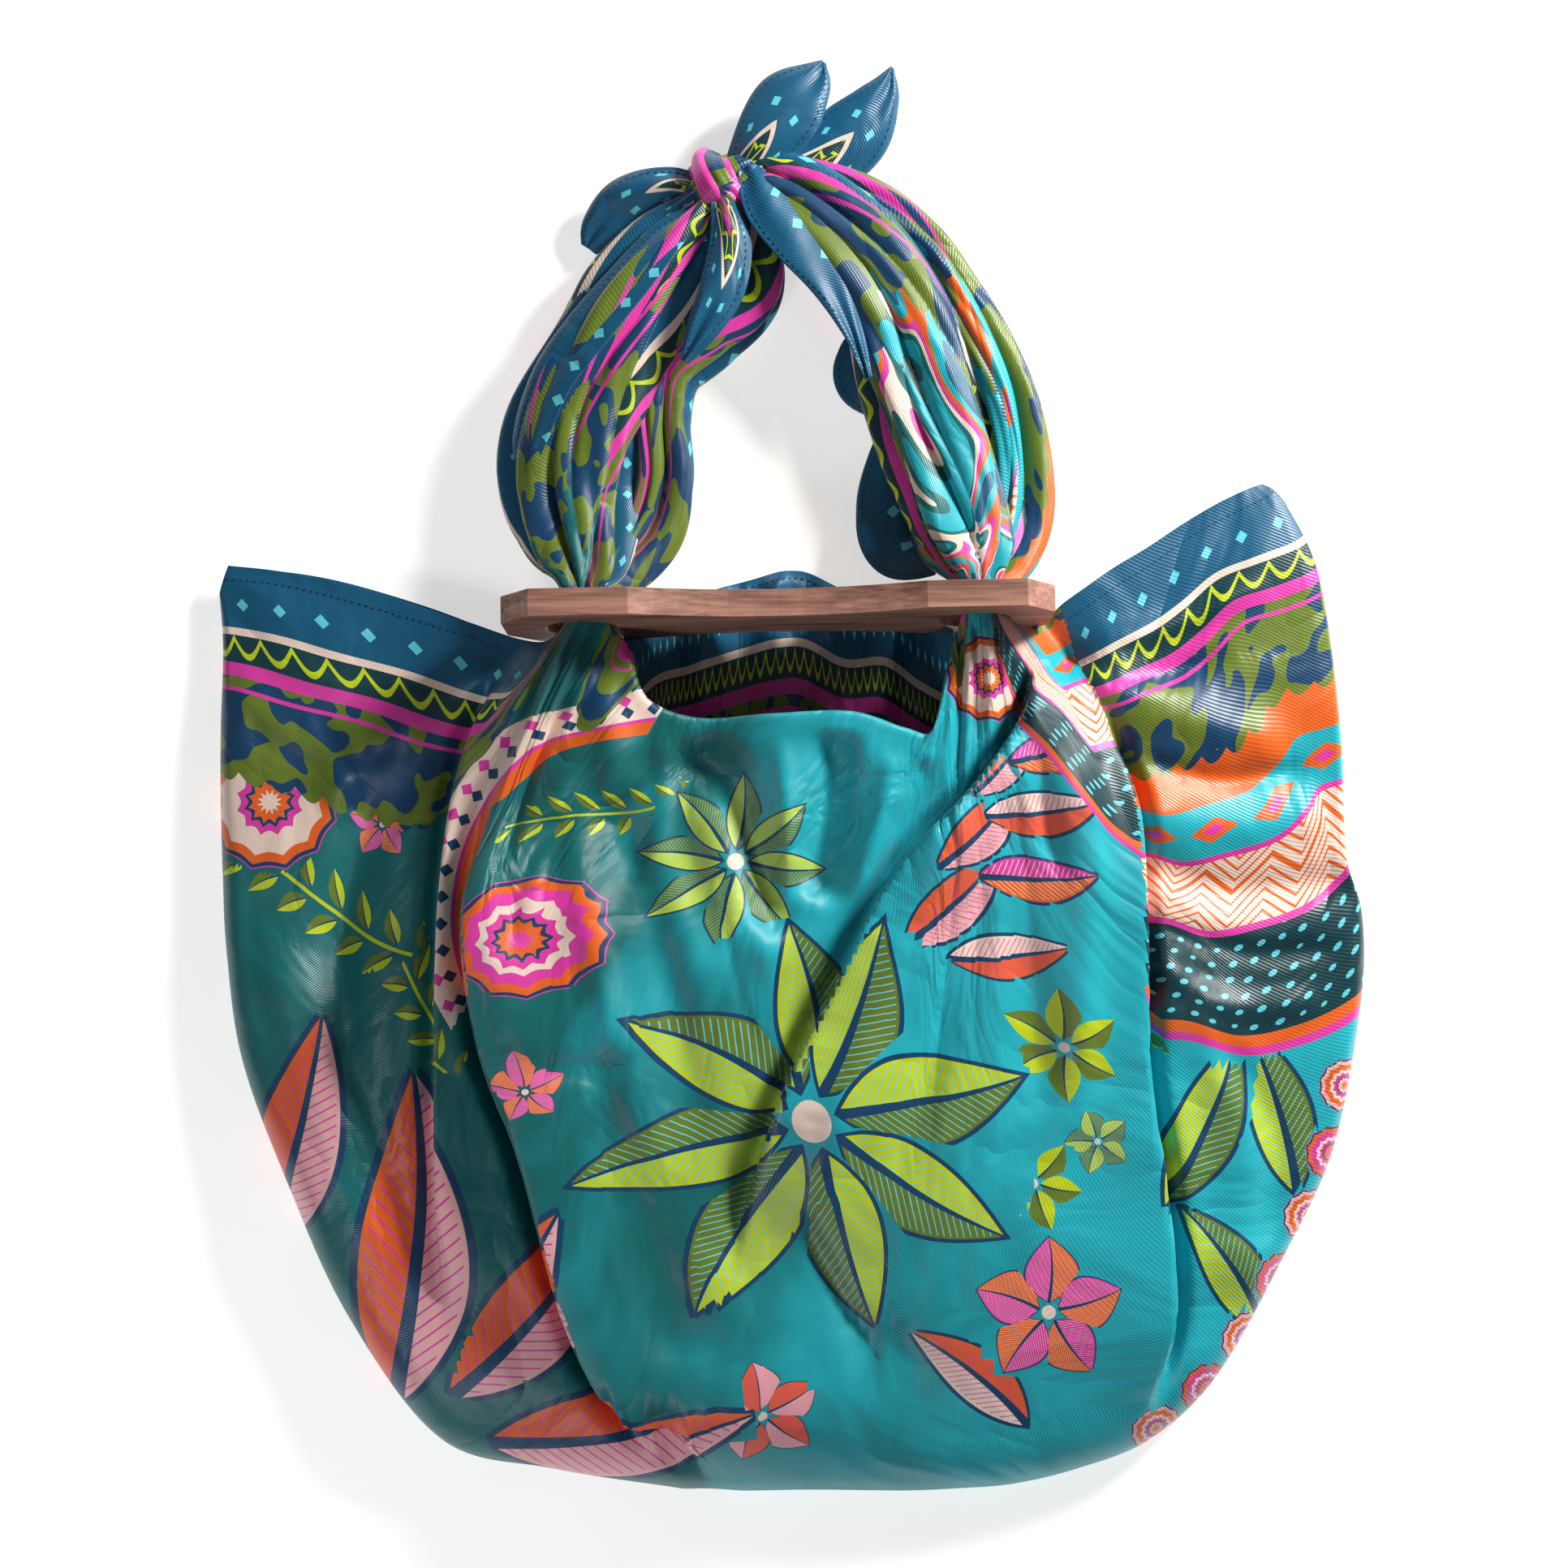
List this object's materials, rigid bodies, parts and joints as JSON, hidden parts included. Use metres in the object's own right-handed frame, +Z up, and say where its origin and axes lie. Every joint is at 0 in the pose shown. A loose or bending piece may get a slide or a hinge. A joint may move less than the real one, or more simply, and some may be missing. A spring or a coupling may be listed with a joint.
{
  "type": "scarf bag",
  "caption": "Handbag of a printed silk scarf whose corners pass through a wooden spreader board and are knotted into a loop handle above a draped open pouch.",
  "frame": {"origin": "under the middle of the bag's box, on the surface that it lies on", "axes": "+Z up from the surface, +X to the right as the bag is seen from above, +Y from the pouch towards the knot"},
  "size_m": [0.5148, 0.6398, 0.0651],
  "materials": {
    "silk_twill": "satin sheen, printed",
    "oiled_walnut": "sanded and oiled"
  },
  "bodies": {
    "root": {"scarf": "silk_twill", "wood_bar": "oiled_walnut"}
  },
  "joints": []
}
